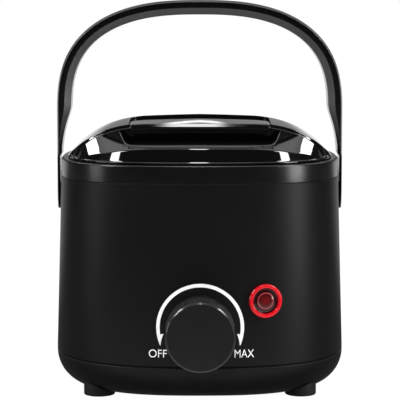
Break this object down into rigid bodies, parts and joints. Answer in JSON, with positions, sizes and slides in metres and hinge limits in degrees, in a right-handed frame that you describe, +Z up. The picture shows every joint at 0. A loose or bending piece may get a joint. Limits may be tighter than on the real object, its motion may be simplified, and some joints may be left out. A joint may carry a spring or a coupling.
{
  "type": "depilatory wax heater",
  "caption": "Rounded-square table-top wax warmer with a lift-out pot, domed lid, folding strap handle, rotary heat knob and red pilot lamp.",
  "frame": {"origin": "on the table, midway between the ends of the box that holds the whole part", "axes": "+Z up, -Y towards the knob and the front, +X to the right as seen from the front"},
  "size_m": [0.1496, 0.181, 0.1992],
  "materials": {
    "body_black": "fine satin moulding texture",
    "collar_black": "smooth satin",
    "lid_black": "polished",
    "handle_black": "satin gloss",
    "knob_black": "satin with a knurled side",
    "lamp_red": "clear tinted lens",
    "foot_rubber": "matte",
    "aluminium": "spun",
    "steel": "zinc plated",
    "copper_alloy": "drawn",
    "heater_mica": "mica clad",
    "felt": "needled felt",
    "moulded_cream": "phenolic",
    "inner_black": "moulded",
    "lamp_glass": "neon envelope",
    "lead_brown": "sleeving",
    "lead_blue": "sleeving",
    "lead_white": "glass sleeving",
    "lead_grey": "sleeving"
  },
  "bodies": {
    "housing": {"housing": "body_black", "base_pan": "body_black", "top_collar": "collar_black", "rubber_feet": "foot_rubber", "lamp_lens": "lamp_red", "cord_gland": "inner_black", "heater_well": "aluminium", "heat_shield": "aluminium", "base_screws": "steel", "collar_screws": "steel", "well_screws": "steel", "band_bolt": "steel", "band_nut": "steel", "shield_spacers": "steel", "shield_screws": "steel", "thermostat_nut": "steel", "bulb_clip": "steel", "fuse_clip": "steel", "terminal_screws": "steel", "block_screw": "steel", "sensor_bulb": "copper_alloy", "capillary_tube": "copper_alloy", "heater_band": "heater_mica", "insulation_wrap": "felt", "thermostat_body": "moulded_cream", "terminal_block": "moulded_cream", "thermal_fuse": "lead_white", "lamp_bulb": "lamp_glass", "lamp_nut": "inner_black", "gland_nut": "inner_black", "live_lead": "lead_brown", "neutral_lead": "lead_blue", "fuse_leads": "lead_white", "lamp_leads": "lead_grey"},
    "knob": {"knob": "knob_black", "knob_clip": "steel", "thermostat_shaft": "steel"},
    "carry_handle": {"carry_handle": "handle_black", "pivot_washers": "steel", "pivot_screws": "steel"},
    "wax_pot": {"wax_pot": "aluminium"},
    "lid": {"lid": "lid_black"}
  },
  "joints": [
    {"name": "knob_turn", "type": "hinge", "parent": "housing", "child": "knob", "pos_m": [0, -0.08, 0.0383], "axis": [0, 1, 0], "range_deg": [0, 225]},
    {"name": "handle_fold", "type": "hinge", "parent": "housing", "child": "carry_handle", "pos_m": [0, 0.00903, 0.1], "axis": [1, 0, 0], "range_deg": [-90, 90]},
    {"name": "pot_lift", "type": "slide", "parent": "housing", "child": "wax_pot", "axis": [0, 0, 1], "range_m": [0, 0.016]},
    {"name": "lid_lift", "type": "slide", "parent": "wax_pot", "child": "lid", "axis": [0, 0, 1], "range_m": [0, 0.016]}
  ]
}
